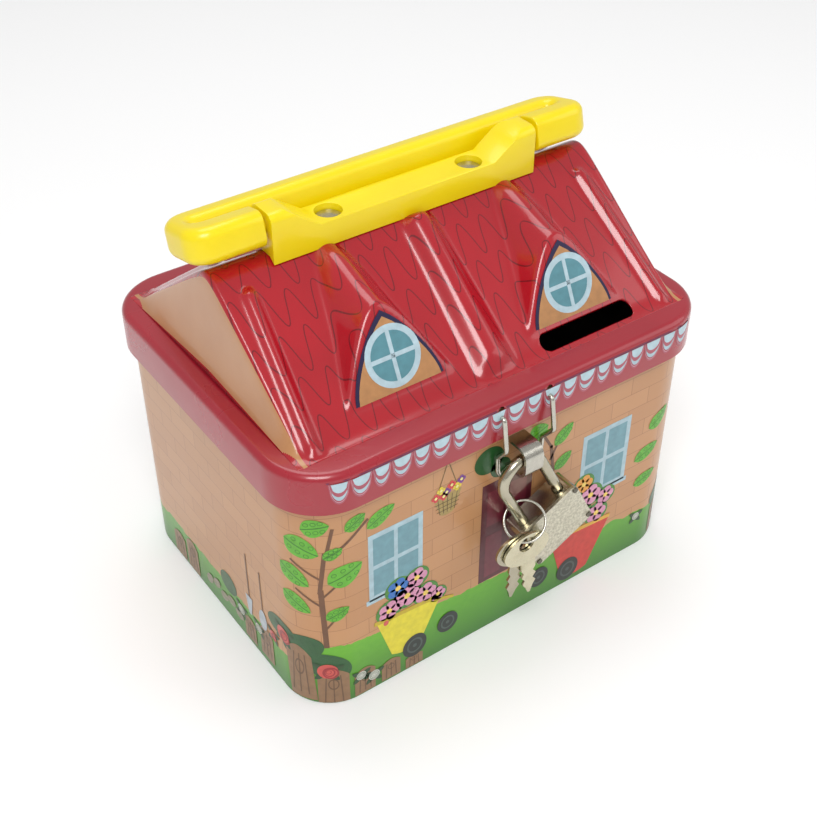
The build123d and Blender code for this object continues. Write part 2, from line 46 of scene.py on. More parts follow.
# ---- box wall -----------------------------------------------------------------------------------
# A strip of tinplate bent round to a rounded rectangle, printed with brickwork over a lawn
# and varnished. The bottom tray is let into its foot.
low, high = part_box("body_wall")
WALL_X = high.x / MM
WALL_Y = high.y / MM
WALL_TOP = high.z / MM
WALL_ROUND = 13.9
FLAT_X = WALL_X - WALL_ROUND
FLAT_Y = WALL_Y - WALL_ROUND
CORNER_RUN = WALL_ROUND * math.pi / 2


def ink(red, green, blue):
    """A printer's colour, 0 to 255, as the shader wants it."""
    parts = [c / 255 / 12.92 if c < 10 else ((c / 255 + 0.055) / 1.055) ** 2.4 for c in (red, green, blue)]
    return (*parts, 1)


def shader(name, rough=0.35, metal=0.0, coat=0.0):
    """A new material; returns it with its node tree and its main shader."""
    material = bpy.data.materials.new(name)
    material.use_nodes = True
    tree = material.node_tree
    surface = tree.nodes["Principled BSDF"]
    surface.inputs["Roughness"].default_value = rough
    surface.inputs["Metallic"].default_value = metal
    surface.inputs["Coat Weight"].default_value = coat
    surface.inputs["Coat Roughness"].default_value = 0.08
    return material, tree, surface


def wire(tree, kind, inputs=(), **settings):
    """One node of a shader, with its inputs linked or set."""
    node = tree.nodes.new("ShaderNode" + kind)
    for key, value in settings.items():
        setattr(node, key, value)
    for key, value in dict(inputs).items():
        if isinstance(value, bpy.types.NodeSocket):
            tree.links.new(value, node.inputs[key])
        else:
            node.inputs[key].default_value = value
    return node


def mixed(tree, share, one, two):
    """A colour between two others."""
    node = wire(tree, "Mix", data_type="RGBA")
    for key, value in ((0, share), (6, one), (7, two)):
        if isinstance(value, bpy.types.NodeSocket):
            tree.links.new(value, node.inputs[key])
        else:
            node.inputs[key].default_value = value
    return node.outputs[2]


def sums(tree, kind, *values):
    """One step of arithmetic in a shader."""
    return wire(tree, "Math", dict(enumerate(values)), operation=kind).outputs[0]


def finish(name, one, two, rough=0.35, metal=0.0, coat=0.0, grain=400.0, bump=0.02):
    """A surface that drifts between two close colours, with a fine bump and uneven gloss."""
    material, tree, surface = shader(name, rough, metal, coat)
    place = wire(tree, "TexCoord").outputs["Object"]
    cloud = wire(tree, "TexNoise", {"Vector": place, "Scale": grain, "Detail": 4.0}).outputs["Fac"]
    tree.links.new(mixed(tree, cloud, one, two), surface.inputs["Base Color"])
    gloss = wire(tree, "MapRange", {"Value": cloud, "To Min": rough * 0.8, "To Max": rough * 1.25})
    tree.links.new(gloss.outputs[0], surface.inputs["Roughness"])
    fine = wire(tree, "TexNoise", {"Vector": place, "Scale": grain * 4, "Detail": 3.0}).outputs["Fac"]
    relief = wire(tree, "Bump", {"Height": fine, "Strength": bump * 10, "Distance": 0.0001})
    tree.links.new(relief.outputs[0], surface.inputs["Normal"])
    return material


def round_the_wall(x, y):
    """How far along the wall a point is, in mm from the middle of the front."""
    across, deep = abs(x), y
    if deep < -FLAT_Y and across <= FLAT_X:
        run = across
    elif deep < -FLAT_Y:
        run = FLAT_X + WALL_ROUND * math.atan2(across - FLAT_X, -(deep + FLAT_Y))
    elif across > FLAT_X and deep <= FLAT_Y:
        run = FLAT_X + CORNER_RUN + deep + FLAT_Y
    elif across > FLAT_X:
        run = FLAT_X + CORNER_RUN + 2 * FLAT_Y + WALL_ROUND * math.atan2(deep - FLAT_Y, across - FLAT_X)
    else:
        run = 2 * FLAT_X + 2 * CORNER_RUN + 2 * FLAT_Y - across
    return math.copysign(run, x)


def start_clean():
    """Deselects everything, so that the next operator acts on the new piece alone."""
    bpy.ops.object.select_all(action="DESELECT")


def apply_modifier(piece, kind, **settings):
    """Puts one modifier on a piece and makes it part of the mesh."""
    modifier = piece.modifiers.new(kind.title(), kind)
    for key, value in settings.items():
        setattr(modifier, key, value)
    bpy.context.view_layer.objects.active = piece
    bpy.ops.object.modifier_apply(modifier=modifier.name)


def rounded_tube(name, half_x, half_y, low_z, high_z, radius):
    """A standing block with its four upright edges rounded, from sizes in mm."""
    start_clean()
    bpy.ops.mesh.primitive_cube_add(size=2, location=(0, 0, (low_z + high_z) / 2 * MM),
                                    scale=(half_x * MM, half_y * MM, (high_z - low_z) / 2 * MM))
    piece = bpy.context.object
    piece.name = name
    bpy.ops.object.transform_apply(location=True, rotation=True, scale=True)
    bpy.ops.object.mode_set(mode="EDIT")
    bpy.ops.mesh.select_mode(type="EDGE")
    bpy.ops.mesh.select_all(action="DESELECT")
    shape = bmesh.from_edit_mesh(piece.data)
    for edge in shape.edges:
        edge.select_set(abs(edge.verts[0].co.z - edge.verts[1].co.z) > MM)
    bmesh.update_edit_mesh(piece.data)
    bpy.ops.mesh.bevel(offset=radius * MM, segments=16, affect="EDGES")
    bpy.ops.object.mode_set(mode="OBJECT")
    return piece


def drop_faces(piece, chosen):
    """Deletes the faces for which the test holds."""
    shape = bmesh.new()
    shape.from_mesh(piece.data)
    bmesh.ops.delete(shape, geom=[f for f in shape.faces if chosen(f)], context="FACES")
    shape.to_mesh(piece.data)
    shape.free()


brickwork, tree, surface = shader("printed brickwork and lawn", rough=0.36, coat=0.3)
place = wire(tree, "UVMap", uv_map="print").outputs[0]
across = wire(tree, "SeparateXYZ", {0: place}).outputs
bricks = wire(tree, "TexBrick", {"Vector": place, "Color1": ink(184, 132, 86), "Color2": ink(170, 118, 74),
                                 "Mortar": ink(140, 88, 52), "Scale": 1.0, "Mortar Size": 0.0011,
                                 "Mortar Smooth": 0.3, "Brick Width": 0.13, "Row Height": 0.055, "Bias": -0.3})
wash = wire(tree, "TexNoise", {"Vector": place, "Scale": 6.0, "Detail": 5.0}).outputs["Fac"]
warm = mixed(tree, sums(tree, "MULTIPLY", wash, 0.55), bricks.outputs["Color"], ink(192, 144, 100))
# the lawn's ragged edge falls from the left plant to the right corner
rise = wire(tree, "MapRange", {"Value": across[0], "From Min": -0.5, "From Max": 0.51,
                               "To Min": 0.215, "To Max": 0.135})
side = sums(tree, "LESS_THAN", across[0], -0.66)
edge = sums(tree, "SUBTRACT", rise.outputs[0], sums(tree, "MULTIPLY", side, 0.085))
tufts = wire(tree, "TexNoise", {"Vector": place, "Scale": 22.0, "Detail": 3.0}).outputs["Fac"]
edge = sums(tree, "ADD", edge, sums(tree, "MULTIPLY", sums(tree, "SUBTRACT", tufts, 0.5), 0.035))
lawn = sums(tree, "LESS_THAN", across[1], edge)
blades = wire(tree, "TexNoise", {"Vector": place, "Scale": 45.0, "Detail": 6.0}).outputs["Fac"]
depth = wire(tree, "MapRange", {"Value": across[1], "From Min": 0.0, "From Max": 0.2}).outputs[0]
green = mixed(tree, depth, ink(44, 104, 6), ink(104, 178, 22))
green = mixed(tree, sums(tree, "MULTIPLY", blades, 0.5), green, ink(56, 130, 8))
tree.links.new(mixed(tree, lawn, warm, green), surface.inputs["Base Color"])
ripple = wire(tree, "TexNoise", {"Vector": place, "Scale": 3.0, "Detail": 1.0}).outputs["Fac"]
dents = wire(tree, "Bump", {"Height": ripple, "Strength": 0.25, "Distance": 0.0006})
tree.links.new(dents.outputs[0], surface.inputs["Normal"])
bare_inside = finish("bare tinplate inside", ink(196, 194, 184), ink(170, 167, 156),
                     rough=0.3, metal=1.0, grain=60, bump=0.02)

wall = rounded_tube("box_wall", WALL_X, WALL_Y, 0, WALL_TOP, WALL_ROUND)
drop_faces(wall, lambda f: abs(f.normal.z) > 0.9)
print_map = wall.data.uv_layers.new(name="print")
for face in wall.data.polygons:
    for loop in face.loop_indices:
        corner = wall.data.vertices[wall.data.loops[loop].vertex_index].co / MM
        run = round_the_wall(corner.x, corner.y)
        if face.normal.y > 0.9 and corner.x < 0:
            run += 4 * (FLAT_X + FLAT_Y + CORNER_RUN)
        print_map.data[loop].uv = (run / 100, corner.z / 100)
wall.data.materials.append(brickwork)
wall.data.materials.append(bare_inside)
apply_modifier(wall, "SOLIDIFY", thickness=0.5 * MM, offset=-1, material_offset=1)
for face in wall.data.polygons:
    face.use_smooth = True
bpy.ops.object.shade_smooth_by_angle(angle=math.radians(30))
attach(wall, "box")
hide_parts("body_wall")

# ---- printed pictures on the wall ---------------------------------------------------------------
# Spot colours over the brickwork: windows, a door, plants, a hanging basket, fence posts with
# roses, and two garden carts full of flowers. Each ink is its own thin layer.
FORMS = {
    "bar": lambda p, q: (p, q),
    "disc": lambda p, q: (p * math.sqrt(1 - q * q / 2), q * math.sqrt(1 - p * p / 2)),
    "leaf": lambda p, q: (p, q * (1 - abs(p) ** 2.4) ** 0.8 * (1 - 0.25 * p)),
    "post": lambda p, q: (p, q - (0.35 * p * p if q > 0 else 0) * q),
    "tub": lambda p, q: (p * (0.72 + 0.28 * q), q - 0.15 * (1 - p * p) * (1 - q) / 2),
    "moon": lambda p, q: (p, (q - 1) * math.sqrt(max(0.0, 1 - p * p))),
    "hoop": lambda p, q: ((0.89 + 0.11 * q) * math.cos(math.pi * p),
                          (0.89 + 0.11 * q) * math.sin(math.pi * p)),
}


def on_wall(run, up, out):
    """A point of the print, mm along the wall and up it, that far off the tin."""
    side = math.copysign(1, run)
    far = abs(run)
    side_start = FLAT_X + CORNER_RUN
    side_end = side_start + 2 * FLAT_Y
    if far <= side_start:
        x, y, turn = min(far, FLAT_X), -FLAT_Y, max(0.0, far - FLAT_X) / WALL_ROUND
    elif far <= side_end:
        x, y, turn = FLAT_X, far - side_start - FLAT_Y, math.pi / 2
    else:
        x = FLAT_X - max(0.0, far - side_end - CORNER_RUN)
        y, turn = FLAT_Y, math.pi / 2 + min(CORNER_RUN, far - side_end) / WALL_ROUND
    reach = WALL_ROUND + out
    up = max(up, 0.15)
    return Vector((side * (x + reach * math.sin(turn)), y - reach * math.cos(turn), up)) * MM


def print_ink(name, colour, layer, surface_map, shapes, body="box"):
    """One colour of the print: every shape is (form, along, up, half width, half height, turn in degrees)."""
    sheet = bmesh.new()
    for form, along, up, half_w, half_h, turn in shapes:
        cells = (40, 2) if form == "hoop" else (10, 10)
        grid = bmesh.ops.create_grid(sheet, x_segments=cells[0], y_segments=cells[1], size=1)
        cos, sin = math.cos(math.radians(turn)), math.sin(math.radians(turn))
        for vert in grid["verts"]:
            p, q = FORMS[form](vert.co.x, vert.co.y)
            p, q = p * half_w, q * half_h
            vert.co = surface_map(along + p * cos - q * sin, up + p * sin + q * cos, 0.04 + 0.03 * layer)
    mesh = bpy.data.meshes.new(name)
    sheet.to_mesh(mesh)
    sheet.free()
    piece = bpy.data.objects.new(name, mesh)
    bpy.context.scene.collection.objects.link(piece)
    one = ink(*colour)
    two = ink(*(c * 0.8 for c in colour))
    mesh.materials.append(finish("ink of " + name, one, two, rough=0.38, coat=0.25, grain=500, bump=0.01))
    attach(piece, body)
    return piece


def window(left, right, foot, top):
    """Half sizes and middle of a window with four panes: frame shapes and glass shapes."""
    x, z, w, h = (left + right) / 2, (foot + top) / 2, (right - left) / 2, (top - foot) / 2
    frame_bars = [("bar", x, z, w, h, 0), ("bar", x, foot - 0.2, w + 0.9, 0.8, 0)]
    panes = [("bar", x + i * w * 0.45, z + j * h * 0.46, w * 0.38, h * 0.40, 0)
             for i in (-1, 1) for j in (-1, 1)]
    return frame_bars, panes


left_frame, left_panes = window(-45.2, -29.0, 33.0, 55.6)
right_frame, right_panes = window(23.2, 40.3, 30.5, 53.4)
for left in (-188.0, 171.0):
    more_frame, more_panes = window(left, left + 17.0, 27.0, 49.5)
    right_frame += more_frame
    right_panes += more_panes
print_ink("window_frames", (176, 204, 214), 0, on_wall, left_frame + right_frame)
print_ink("window_panes", (112, 160, 172), 1, on_wall, left_panes + right_panes)
print_ink("door", (92, 22, 38), 0, on_wall, [("bar", -2.3, 36.0, 8.2, 17.5, 0)])
print_ink("door_panels", (118, 34, 52), 1, on_wall,
          [("bar", -2.3 + i * 3.7, z, 2.7, h, 0) for i in (-1, 1) for z, h in ((44.5, 6.0), (27.5, 7.5))])

# plants: brown stems under leaves, each leaf (along, up, half length, half width, turn)
STEMS = [(-57.6, 32.0, 0.7, 10.5, 2), (-57.4, 48.0, 0.55, 7.0, -7), (-55.4, 58.0, 0.45, 4.6, -12),
         (-51.0, 57.0, 0.4, 7.6, -52), (-61.0, 39.0, 0.3, 4.4, 52), (-54.6, 43.0, 0.3, 4.6, -42),
         (-61.5, 48.5, 0.3, 4.8, 55), (-56.0, 30.0, 0.3, 3.4, -35),
         (12.6, 50.0, 0.5, 6.5, 8), (10.0, 59.0, 0.4, 4.0, 30), (13.6, 55.5, 0.35, 4.5, -25)]
LEAVES = [(-58.6, 63.0, 4.0, 3.1, 12), (-48.6, 62.4, 3.6, 2.4, 28), (-41.4, 60.5, 5.0, 2.6, 26),
          (-62.4, 56.0, 5.4, 3.8, -24), (-54.6, 54.4, 3.1, 1.9, 30), (-64.8, 46.0, 5.4, 3.3, -34),
          (-51.6, 46.6, 5.6, 4.0, 24), (-64.6, 36.6, 5.2, 3.0, -34), (-54.0, 33.6, 3.8, 2.4, 30),
          (15.8, 58.4, 4.4, 2.3, 42), (16.3, 49.2, 3.8, 2.2, 36), (7.0, 63.0, 3.6, 3.4, 20),
          (51.6, 47.0, 5.0, 2.8, 32), (48.0, 36.5, 5.2, 2.6, 22), (48.8, 26.5, 4.8, 2.4, 18)]
STEMS += [(x + 160.0, *rest) for x, *rest in STEMS[:8]]
LEAVES += [(x + 160.0, *rest) for x, *rest in LEAVES[:9]]
print_ink("stems", (112, 70, 38), 1, on_wall, [("bar", *stem) for stem in STEMS])
print_ink("leaves", (98, 184, 34), 2, on_wall,
          [("leaf", x, z, w * 0.9, h * 0.88, turn) for x, z, w, h, turn in LEAVES])
print_ink("leaf_veins", (46, 118, 20), 3, on_wall,
          [("bar", x, z, w * 0.86, 0.14, turn) for x, z, w, h, turn in LEAVES]
          + [("hoop", x + w * i * math.cos(math.radians(turn)) - h * j * math.sin(math.radians(turn)),
              z + w * i * math.sin(math.radians(turn)) + h * j * math.cos(math.radians(turn)), 0.7, 0.6, turn)
             for x, z, w, h, turn in LEAVES for i in (-0.45, 0.0, 0.42) for j in (-0.42, 0.42)])
print_ink("dark_foliage", (30, 88, 36), 1, on_wall,
          [("disc", -8.8, 61.5, 4.6, 4.2, 0), ("disc", -5.0, 57.5, 3.2, 3.0, 0),
           ("disc", -0.6, 24.6, 4.2, 3.4, 0),
           ("disc", -64.5, 20.0, 7.0, 4.4, 25), ("disc", -57.0, 14.0, 6.4, 4.6, -30),
           ("disc", -72.0, 22.0, 6.0, 3.4, 10),
           ("disc", 60.0, 16.0, 7.0, 4.0, 20), ("disc", -100.0, 14.0, 4.5, 3.6, 0)])

# hanging basket with a bunch of small flowers
print_ink("basket", (176, 150, 84), 0, on_wall, [("tub", -21.6, 54.0, 4.4, 3.2, 0)])
print_ink("basket_weave", (120, 98, 50), 1, on_wall,
          [("bar", -21.6 + i * 1.3, 54.0, 0.12, 2.8, i * -4) for i in (-2, -1, 0, 1, 2)]
          + [("bar", -21.6, 52.2 + i * 1.3, 3.2 + 0.35 * i, 0.12, 0) for i in (0, 1, 2)]
          + [("bar", -23.4, 62.4, 0.12, 5.6, -18), ("bar", -19.8, 62.4, 0.12, 5.6, 18)])
BLOOMS = [(-25.2, 57.4), (-23.6, 59.2), (-21.9, 58.0), (-20.4, 59.6), (-18.7, 58.2), (-17.4, 60.0),
          (-22.8, 57.0)]
for name, colour, first in (("red_blooms", (226, 62, 66), 0), ("yellow_blooms", (240, 214, 60), 1),
                            ("violet_blooms", (128, 60, 150), 2)):
    print_ink(name, colour, 2, on_wall, [("disc", x + dx, z + dz, 0.62, 0.62, 0) for x, z in BLOOMS[first::3]
                                         for dx, dz in ((0, 0.7), (0.7, 0), (0, -0.7), (-0.7, 0))])
print_ink("bloom_eyes", (250, 236, 150), 3, on_wall, [("disc", x, z, 0.45, 0.45, 0) for x, z in BLOOMS])

# rounded fence posts and the roses that climb them
POSTS = [(-65.0, 10.5, 4.0, 10.0, 4), (-56.0, 6.0, 4.2, 7.0, 0), (-47.2, 5.2, 3.2, 4.8, 0),
         (-39.0, 4.2, 3.0, 3.6, 0), (-31.5, 2.6, 2.8, 2.2, 0), (-80.0, 8.0, 3.4, 6.0, 0),
         (-89.0, 5.6, 3.0, 4.4, 0), (58.0, 7.0, 3.4, 6.0, 0), (66.0, 6.0, 3.2, 5.0, 0)]
POSTS += [(side * x, h, 3.4, h - 0.5, 0) for side in (-1, 1)
          for x, h in ((122, 6.5), (130, 5.2), (158, 7.0), (166, 5.6), (200, 6.2))]
print_ink("posts", (150, 112, 76), 2, on_wall, [("post", *post) for post in POSTS])
print_ink("post_grain", (108, 76, 48), 3, on_wall,
          [("bar", x + i * w * 0.5, z - 0.5, 0.16, h * 0.75, 3 * i)
           for x, z, w, h, turn in POSTS for i in (-1, 0, 1)]
          + [("hoop", x, z + h * 0.2, w * 0.35, h * 0.3, 0) for x, z, w, h, turn in POSTS])
ROSES = [(-57.4, 12.6, 2.7), (-70.6, 20.5, 2.6), (-76.0, 15.0, 1.6)]
PALE = [(-48.4, 7.6, 1.5), (-44.4, 5.2, 1.7), (-84.0, 10.4, 1.6), (-93.5, 9.4, 1.7), (47.5, 12.0, 1.3)]
print_ink("roses", (214, 84, 74), 4, on_wall, [("disc", x, z, r, r, 0) for x, z, r in ROSES]
          + [("disc", -40.4, 22.5, 0.8, 0.9, 0)])
print_ink("rose_folds", (164, 40, 44), 5, on_wall,
          [("hoop", x + r * 0.1 * k, z - r * 0.08 * k, r * 0.28 * k, r * 0.26 * k, 40 * k)
           for x, z, r in ROSES for k in (1, 2, 3)])
print_ink("white_roses", (226, 226, 216), 4, on_wall, [("disc", x, z, r, r, 0) for x, z, r in PALE])
print_ink("white_folds", (160, 168, 150), 5, on_wall,
          [("hoop", x, z, r * 0.3 * k, r * 0.28 * k, 0) for x, z, r in PALE for k in (1, 2, 3)])
print_ink("rose_leaves", (34, 74, 30), 3, on_wall,
          [("leaf", x + r * 1.2 * math.cos(a), z + r * 1.2 * math.sin(a), 1.5, 0.8, math.degrees(a))
           for x, z, r in ROSES + PALE for a in (0.4, 2.5, 3.9, 5.4)])

# two garden carts heaped with flowers
print_ink("yellow_cart", (236, 220, 36), 2, on_wall, [("tub", -33.6, 16.4, 10.4, 7.4, -4)])
print_ink("cart_rim", (206, 178, 20), 3, on_wall,
          [("bar", -33.4, 23.2, 10.6, 0.7, -4), ("bar", -22.0, 20.6, 3.4, 0.5, -20)])
print_ink("red_cart", (214, 48, 36), 2, on_wall, [("tub", 25.0, 11.6, 11.2, 8.4, -4)])
print_ink("red_cart_rim", (232, 176, 52), 3, on_wall, [("bar", 25.2, 19.4, 11.4, 0.7, -4)])
WHEELS = [(-31.4, 8.2, 4.1), (-20.6, 10.4, 3.6), (22.0, 5.4, 4.2), (11.2, 8.4, 3.6)]
print_ink("cart_wheels", (24, 32, 30), 4, on_wall, [("disc", x, z, r * 0.94, r, -8) for x, z, r in WHEELS])
print_ink("wheel_hubs", (70, 84, 80), 5, on_wall, [("hoop", x, z, r * 0.62, r * 0.66, 0) for x, z, r in WHEELS]
          + [("disc", x, z, r * 0.16, r * 0.16, 0) for x, z, r in WHEELS])
HEAPS = [(-39.4, 26.4, 3.6), (-33.8, 28.6, 4.0), (-28.0, 26.2, 3.6), (-36.6, 33.0, 3.6), (-30.8, 33.4, 3.5),
         (-24.0, 23.4, 2.6), (18.4, 22.8, 3.9), (24.6, 24.6, 4.1), (31.0, 22.4, 3.8), (21.2, 30.0, 3.7),
         (28.0, 30.6, 3.9), (33.8, 27.8, 3.2), (25.0, 36.0, 3.4)]
BLUE_HEAP = HEAPS[3]
ORANGE_HEAPS = [HEAPS[9], HEAPS[12]]
PINK_HEAPS = [heap for heap in HEAPS if heap != BLUE_HEAP and heap not in ORANGE_HEAPS]
PETAL_TURN = 1.257          # a fifth of a turn


def petals(x, z, reach, size):
    """Five round petals about the middle of a bloom."""
    return [("disc", x + reach * math.cos(k * PETAL_TURN), z + reach * math.sin(k * PETAL_TURN), size, size, 0)
            for k in range(5)]


print_ink("heap_green", (66, 136, 40), 2, on_wall,
          [("disc", x, z, r * 1.12, r * 1.05, 0) for x, z, r in HEAPS])
print_ink("pink_petals", (224, 150, 184), 3, on_wall,
          [petal for x, z, r in PINK_HEAPS for petal in petals(x, z, r * 0.52, r * 0.42)])
print_ink("orange_petals", (238, 160, 52), 3, on_wall,
          [petal for x, z, r in ORANGE_HEAPS for petal in petals(x, z, r * 0.52, r * 0.42)])
print_ink("blue_petals", (36, 112, 196), 3, on_wall, petals(BLUE_HEAP[0], BLUE_HEAP[1], 1.9, 1.5))
print_ink("petal_eyes", (250, 214, 96), 4, on_wall,
          [("disc", x, z, r * 0.24, r * 0.24, 0) for x, z, r in HEAPS])

# spade and fork against the left wall, with stones at their foot
print_ink("tool_shafts", (126, 86, 50), 2, on_wall,
          [("bar", -88.0, 27.0, 0.3, 8.0, 0), ("bar", -81.0, 26.0, 0.3, 8.0, 0)])
print_ink("tool_blades", (186, 196, 204), 3, on_wall,
          [("tub", -88.0, 16.0, 1.8, 3.2, 0), ("disc", -81.0, 16.2, 2.0, 3.6, 0)])
print_ink("stones", (150, 140, 116), 3, on_wall,
          [("disc", -95.0 - 4.2 * i, 6.0 + 1.6 * (i % 2), 2.3, 1.6, 12 * i) for i in range(5)])

# ---- bottom, hinge and staple -------------------------------------------------------------------
# Plain tinplate tray let into the wall, a piano-type hinge behind, and the bright steel staple
# whose legs are clenched inside the wall.
tin = finish("plain tinplate", ink(198, 198, 190), ink(168, 168, 160),
             rough=0.34, metal=1.0, grain=90, bump=0.03)
steel = finish("bright steel", ink(206, 203, 192), ink(170, 167, 156),
               rough=0.22, metal=1.0, grain=700, bump=0.02)


def dress(material, *names):
    """Gives CAD nodes their finish."""
    for name in names:
        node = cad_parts[name]
        if not node.material_slots:
            node.data.materials.append(material)
        for slot in node.material_slots:
            slot.material = material


dress(tin, "bottom_plate", "hinge_leaf_body", "hinge_leaf_lid")
dress(steel, "staple", "hinge_pin", "handle_rivets", "hasp_wire", "key_ring", "heel_clip", "shackle_spring",
      "latch_spring")

# ---- lid ----------------------------------------------------------------------------------------
# One deep pressing: a rounded skirt and shelf, and a gabled roof with four attic windows and six
# ribs raised in it. The press leaves every edge soft. Printed crimson with wavy shingles.
low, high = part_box("lid_shell")
LID_X = high.x / MM
LID_Y = high.y / MM
SKIRT_FOOT = low.z / MM
SHELF = 80.5
ROOF_X = 60.0
ROOF_Y = 43.0
PITCH = 0.77
PEAK = 111.5
GABLE_STRIP = 0.86
DORMER_X = 27.0
FACE_FOOT = Vector((0, -35.4, 84.6))
FACE_RUN = 8.9
FACE_RISE = 18.4
SLOT_AT = (29.0, -38.6)
SLOT_HALF = 15.2
SLOT_R = 2.3


def blend_up(a, b, soft):
    """The higher of two heights, with the join rounded."""
    h = max(0.0, min(1.0, 0.5 + (a - b) / (2 * soft)))
    return b + (a - b) * h + soft * h * (1 - h)


def ramp(value, start, end):
    t = max(0.0, min(1.0, (value - start) / (end - start)))
    return t * t * (3 - 2 * t)


def roof_height(x, y):
    """Height of the pressed roof over a point, in mm."""
    away = abs(y)
    z = blend_up(PEAK - PITCH * math.sqrt(away * away + 7), SHELF, 1.6)
    # attic windows: a soft crest that sinks into the slope behind, cut off by a leaning face in front
    aside = abs(abs(x) - DORMER_X)
    crest = 103.8 + 5.2 * ramp(-away, -26.5, -4.0)
    width = 13.7 - 0.4 * ramp(-away, -30.0, -8.0)
    hood = crest - FACE_RISE * ((math.sqrt(aside * aside + 3.2) - 1.3) / (width - 0.6)) ** 1.42
    face = FACE_FOOT.z + (-FACE_FOOT.y - away) * (FACE_RISE / FACE_RUN)
    z = blend_up(z, -blend_up(-hood, -face, 0.5), 0.9)
    # middle rib, its crest to the right of its middle, and a thin rib near each gable
    spread = 0.35 * ramp(away, 5, 40)
    aside = (x + 1.0) / (5.6 + 3 * spread)
    lift = 4.0 * (1 - ramp(abs(aside), 0.15, 1.05)) * ramp(-away, -41.5, -38.5)
    z += lift * ramp(away, 3.0, 7.5)
    side_x = 49.6 + 0.11 * away
    aside = abs(abs(x) - side_x)
    z += 1.8 * (1 - ramp(aside, 0.3, 2.6)) * ramp(-away, -42.0, -40.2) * ramp(away, 6.0, 9.0)
    return z


def roof_point(u, v):
    """The grid's cell corner as a place on the roof: the outer strips stand up as the gables."""
    y = ROOF_Y * v
    x = ROOF_X * max(-1.0, min(1.0, u / GABLE_STRIP)) * 0.955
    top = roof_height(x, y)
    if abs(u) > GABLE_STRIP:
        down = (abs(u) - GABLE_STRIP) / (1 - GABLE_STRIP)
        z = top + (SHELF - top) * down
        bow = 1.0 - 0.6 * math.sin(math.pi * down) * (top - SHELF) / 29
        x = math.copysign(ROOF_X * 0.955 + 2.6 * down * bow, u)
        return Vector((x, y, z)) * MM
    return Vector((x, y, top)) * MM


shingles, tree, surface = shader("printed shingles", rough=0.24, coat=0.6)
place = wire(tree, "TexCoord").outputs["Object"]
axes = wire(tree, "SeparateXYZ", {0: place}).outputs
phase = sums(tree, "MULTIPLY", axes[0], 2 * math.pi / 0.0072)
slant = sums(tree, "MULTIPLY", sums(tree, "ABSOLUTE", axes[1]), 1.26)
sway = wire(tree, "TexNoise", {"Vector": place, "Scale": 60.0, "Detail": 1.0}).outputs["Fac"]
course = sums(tree, "ADD", slant, sums(tree, "MULTIPLY", sums(tree, "SINE", phase), 0.0048))
course = sums(tree, "ADD", course, sums(tree, "MULTIPLY", sway, 0.009))
steep = sums(tree, "MULTIPLY", sums(tree, "COSINE", phase), 4.2)
longer = sums(tree, "SQRT", sums(tree, "ADD", sums(tree, "MULTIPLY", steep, steep), 1.2))
stroke = sums(tree, "MULTIPLY", longer, 0.00014)
line = sums(tree, "LESS_THAN", sums(tree, "PINGPONG", course, 0.0052), stroke)
flush = wire(tree, "TexNoise", {"Vector": place, "Scale": 35.0, "Detail": 4.0}).outputs["Fac"]
crimson = mixed(tree, flush, ink(146, 6, 22), ink(180, 14, 32))
crimson = mixed(tree, sums(tree, "MULTIPLY", line, 0.85), crimson, ink(98, 4, 18))
tree.links.new(crimson, surface.inputs["Base Color"])
ripple = wire(tree, "TexNoise", {"Vector": place, "Scale": 45.0, "Detail": 1.0}).outputs["Fac"]
dents = wire(tree, "Bump", {"Height": ripple, "Strength": 0.2, "Distance": 0.0005})
tree.links.new(dents.outputs[0], surface.inputs["Normal"])
gable_tan = finish("tan gable", ink(190, 138, 92), ink(172, 118, 72),
                   rough=0.3, coat=0.4, grain=60, bump=0.01)
skirt_red = finish("crimson skirt", ink(164, 30, 46), ink(142, 16, 32),
                   rough=0.28, coat=0.45, grain=50, bump=0.01)

start_clean()
bpy.ops.mesh.primitive_grid_add(x_subdivisions=210, y_subdivisions=140, size=2)
roof = bpy.context.object
roof.name = "roof_pressing"
roof.data.materials.append(shingles)
roof.data.materials.append(gable_tan)
roof.data.materials.append(bare_inside)
roof.data.materials.append(bare_inside)
for face in roof.data.polygons:
    strip = (abs(face.center.x) - GABLE_STRIP) / (1 - GABLE_STRIP)
    margin = 0.93 - 0.5 * ramp(abs(face.center.y), 0.8, 0.95)
    face.material_index = int(0.05 < strip < margin)
for vert in roof.data.vertices:
    vert.co = roof_point(vert.co.x, vert.co.y)
apply_modifier(roof, "SMOOTH", factor=0.5, iterations=5)
apply_modifier(roof, "SOLIDIFY", thickness=0.4 * MM, offset=-1, material_offset=2)
start_clean()
bpy.ops.mesh.primitive_cylinder_add(vertices=48, radius=SLOT_R * MM, depth=30 * MM, location=(0, 0, 0))
cutter = bpy.context.object
for vert in cutter.data.vertices:
    shift = math.copysign(SLOT_HALF - SLOT_R, vert.co.x) * MM
    vert.co += Vector((SLOT_AT[0] * MM + shift, SLOT_AT[1] * MM, 83 * MM))
apply_modifier(roof, "BOOLEAN", operation="DIFFERENCE", object=cutter, solver="EXACT")
bpy.data.objects.remove(cutter)
for face in roof.data.polygons:
    face.use_smooth = True

